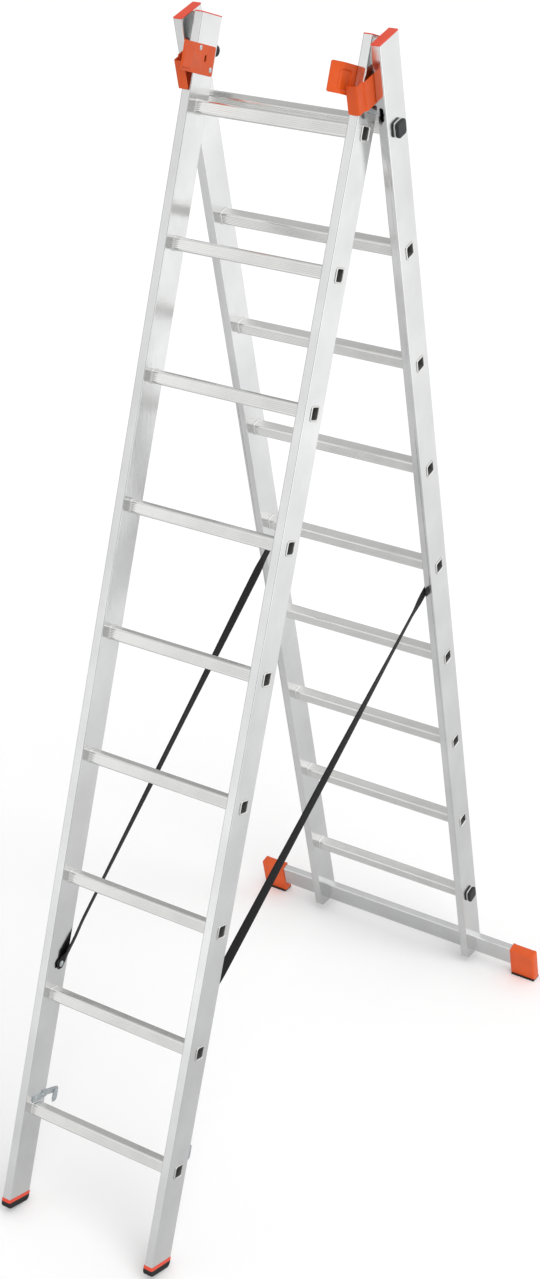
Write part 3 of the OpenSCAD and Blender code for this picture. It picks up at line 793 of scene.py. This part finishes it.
def straps():
    """Webbing from the front section's lower web to the back section's upper web."""
    for side, sign in SIDES.items():
        low_x = sign * (IN_OUT["front"][0] - STRAP_OFF) * MM
        high_x = sign * (IN_OUT["back"][0] - STRAP_OFF) * MM
        low = section("front") @ Vector((low_x, 7 * MM, 601 * MM))
        high = section("back") @ Vector((high_x, -22 * MM, 1316 * MM))
        length = (high - low).length / MM
        along = (high - low).normalized()
        across = Vector((1, 0, 0)).cross(along).normalized()
        out = along.cross(across)
        shape = bmesh.new()
        weave = shape.loops.layers.uv.new("weave")
        steps = 260
        rings, spots = [], []
        total = length + 2 * STRAP_END
        for i in range(steps + 1):
            at = -STRAP_END + total * i / steps
            twist = -sign * math.radians(eased(STRAP_TWIST[side], at))
            turn = Matrix.Rotation(twist, 3, along)
            stand = Vector((-sign * eased(STRAP_STAND, at), 0, 0))
            end = min(at + STRAP_END, length + STRAP_END - at)
            half = min(STRAP_HALF, 2.5 + end * 1.2)
            ring = []
            profile = [(-1, -0.5), (-1, 0.5), (-0.96, 1), (-0.5, 1), (0, 1), (0.5, 1), (0.96, 1)]
            profile += [(-u, -v) for u, v in profile]
            for u, v in profile:
                offset = across * (u * half) + out * (v * STRAP_THICK / 2)
                ring.append(low / MM + along * at + stand + turn @ offset)
            rings.append(ring)
            spots.append([(u * half / 10, at / 10) for u, v in profile])
        made = [[shape.verts.new(p) for p in ring] for ring in rings]
        place = {}
        for ring, spot in zip(made, spots):
            place.update(zip(ring, spot))
        count = len(rings[0])
        for lower, upper in zip(made, made[1:]):
            for i in range(count):
                j = (i + 1) % count
                shape.faces.new((lower[i], lower[j], upper[j], upper[i]))
        for ring in (made[0], made[-1]):
            shape.faces.new(ring)
        for face in shape.faces:
            for loop in face.loops:
                loop[weave].uv = place[loop.vert]
        bmesh.ops.recalc_face_normals(shape, faces=shape.faces)
        bmesh.ops.scale(shape, vec=(MM, MM, MM), verts=shape.verts)
        name = f"strap_{side}"
        mesh = bpy.data.meshes.new(name + "_woven")
        shape.to_mesh(mesh)
        shape.free()
        mesh.shade_smooth()
        mesh.set_sharp_from_angle(angle=math.radians(50))
        mesh.materials.append(LOOKS["black_webbing"])
        piece = bpy.data.objects.new(name + "_woven", mesh)
        bpy.context.scene.collection.objects.link(piece)
        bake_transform(piece)
        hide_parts(name)


rungs("front")
rungs("back")
stile_caps()
front_feet()
bar_shoes()
bar_soles()
rung_plugs()
front_brackets()
guide_brackets()
rivets("front_bracket_rivets", "front", [(-27, 2606), (21, 2567)], 2.6)
rivets("guide_bracket_rivets", "back", [(-4, 2573), (-4, 2608)], 2.6)
rivets("hook_rivets", "front", [(-4, 275), (22, 275)], 3.1)
STRAP_WASHERS = ((7, -1.0, -0.05), (7, -5.9, -3.85))
rivets("strap_rivets_front", "front", [(7, 601)], 5.95, STRAP_WASHERS)
rivets("strap_rivets_back", "back", [(-22, 1316)], 5.95, STRAP_WASHERS)
stop_buffers()
straps()

# ---- carried-over CAD nodes ---------------------------------------------

CAD_LOOKS = {
    "front_stile": "front_aluminium",
    "back_stile": "back_aluminium",
    "stabiliser_bar": "bar_aluminium",
    "bar_bolts": "zinc_steel",
    "bar_nuts": "zinc_steel",
    "hinge_pins": "zinc_steel",
    "hinge_spacers": "zinc_steel",
    "hook": "zinc_steel",
    "latch_pins": "rivet_steel",
    "latch": "zinc_steel",
}


def dress_cad():
    for name, node in frame["nodes"].items():
        if node.hide_render:
            continue
        start = next(key for key in CAD_LOOKS if name.startswith(key))
        node.data.materials.clear()
        node.data.materials.append(LOOKS[CAD_LOOKS[start]])
        for polygon in node.data.polygons:
            polygon.material_index = 0
        if name.startswith(("hook", "latch_left", "latch_right", "bar_nuts")):
            soften(node, 0.7, weld=True)


dress_cad()

# ---- floor, light and camera --------------------------------------------


# What metal reflects: a horizon that is bright on the right and in front and dim behind on the
# left, and a floor whose grey in reflections is painted shade, darker near the ladder
HORIZON = (0.52, -0.27, 0.0)
HORIZON_TONE = 0.90
FLOOR_PAINTED_SHADE_NEAR = 0.62
# The room behind the camera is dark, which draws thin dark lines along rounded edges
DARK_SIDE = (0.72, -0.69, 0.1)
DARK_RANGE = (0.70, 0.92, 1.0, 0.35)


def floor():
    bpy.ops.mesh.primitive_circle_add(vertices=64, radius=60, fill_type="NGON")
    plane = bpy.context.object
    plane.name = "floor"
    n = Nodes("floor")
    spot = n.add("TexCoord").outputs["Object"]
    reach = n.add("VectorMath", {0: spot}, operation="LENGTH").outputs["Value"]
    unit = n.add("VectorMath", {0: spot}, operation="NORMALIZE").outputs[0]
    # To reflections only, the floor is painted: a grey that darkens towards the ladder as painted
    # shade, and brightens and dims with the horizon and the dark side as painted light. The camera
    # and diffuse light see it white.
    far = n.add("VectorMath", {0: unit, 1: HORIZON}, operation="DOT_PRODUCT").outputs["Value"]
    far = n.math("ADD", far, HORIZON_TONE)
    behind = n.add("VectorMath", {0: unit, 1: DARK_SIDE}, operation="DOT_PRODUCT")
    far = n.math("MULTIPLY", far, n.ramp(behind.outputs["Value"], *DARK_RANGE))
    # The grey runs from the painted shade near the ladder to the painted horizon light far off.
    painted_reflection_grey = n.ramp(reach, 0.6, 4.8, FLOOR_PAINTED_SHADE_NEAR, far)
    glossy = n.add("LightPath").outputs["Is Glossy Ray"]
    # Glossy rays see the painted grey; every other ray sees white.
    tone = n.blend(glossy, rgb(1.0, 1.0, 1.0), painted_reflection_grey)
    n.set(base_color=tone, roughness=0.9)
    n.feed(n.shader.inputs["Specular IOR Level"], 0.0)
    plane.data.materials.append(n.material)


def light():
    world = bpy.data.worlds.new("studio")
    bpy.context.scene.world = world
    world.use_nodes = True
    tree = world.node_tree
    background = tree.nodes["Background"]
    background.inputs["Color"].default_value = rgb(1, 1, 1)
    coordinate = tree.nodes.new("ShaderNodeTexCoord")
    dot = tree.nodes.new("ShaderNodeVectorMath")
    dot.operation = "DOT_PRODUCT"
    dot.inputs[1].default_value = HORIZON
    tree.links.new(coordinate.outputs["Generated"], dot.inputs[0])
    shade = tree.nodes.new("ShaderNodeMath")
    shade.inputs[1].default_value = HORIZON_TONE
    tree.links.new(dot.outputs["Value"], shade.inputs[0])
    behind = tree.nodes.new("ShaderNodeVectorMath")
    behind.operation = "DOT_PRODUCT"
    behind.inputs[1].default_value = DARK_SIDE
    tree.links.new(coordinate.outputs["Generated"], behind.inputs[0])
    dim = tree.nodes.new("ShaderNodeMapRange")
    for i, value in enumerate(DARK_RANGE, 1):
        dim.inputs[i].default_value = value
    tree.links.new(behind.outputs["Value"], dim.inputs[0])
    dimmed = tree.nodes.new("ShaderNodeMath")
    dimmed.operation = "MULTIPLY"
    tree.links.new(shade.outputs[0], dimmed.inputs[0])
    tree.links.new(dim.outputs[0], dimmed.inputs[1])
    path = tree.nodes.new("ShaderNodeLightPath")
    pick = tree.nodes.new("ShaderNodeMix")
    pick.inputs[2].default_value = 0.78
    tree.links.new(path.outputs["Is Glossy Ray"], pick.inputs[0])
    tree.links.new(dimmed.outputs[0], pick.inputs[3])
    tree.links.new(pick.outputs[0], background.inputs["Strength"])
    key = bpy.data.lights.new("key", "SUN")
    key.energy = 1.15
    key.angle = math.radians(50)
    lamp = bpy.data.objects.new("key", key)
    lamp.visible_glossy = False
    lamp.rotation_euler = (math.radians(45), 0, math.radians(62))
    bpy.context.scene.collection.objects.link(lamp)


# The camera looks down at the ladder from the front right, as the ladder was photographed
AZIMUTH = math.radians(31.971)
ELEVATION = math.radians(25.958)
ROLL = math.radians(1.176)
DISTANCE = 4.829256
TARGET = Vector((-0.087426, -0.009286, 1.235734))
LENS = 59.658
SHIFT = (0.02743, -0.01605)


def camera():
    data = bpy.data.cameras.new("camera")
    data.lens = LENS
    data.sensor_width = 36
    data.shift_x, data.shift_y = SHIFT
    eye = bpy.data.objects.new("camera", data)
    bpy.context.scene.collection.objects.link(eye)
    level = math.cos(ELEVATION)
    back = Vector((math.sin(AZIMUTH) * level, -math.cos(AZIMUTH) * level, math.sin(ELEVATION)))
    right = back.cross(Vector((0, 0, 1))).normalized() * -1
    up = back.cross(right)
    side = right * math.cos(ROLL) + up * math.sin(ROLL)
    top = up * math.cos(ROLL) - right * math.sin(ROLL)
    turn = Matrix((side, top, back)).transposed().to_4x4()
    eye.matrix_world = Matrix.Translation(TARGET + back * DISTANCE) @ turn
    bpy.context.scene.camera = eye


floor()
light()
camera()
bpy.context.scene.view_settings.view_transform = "Standard"
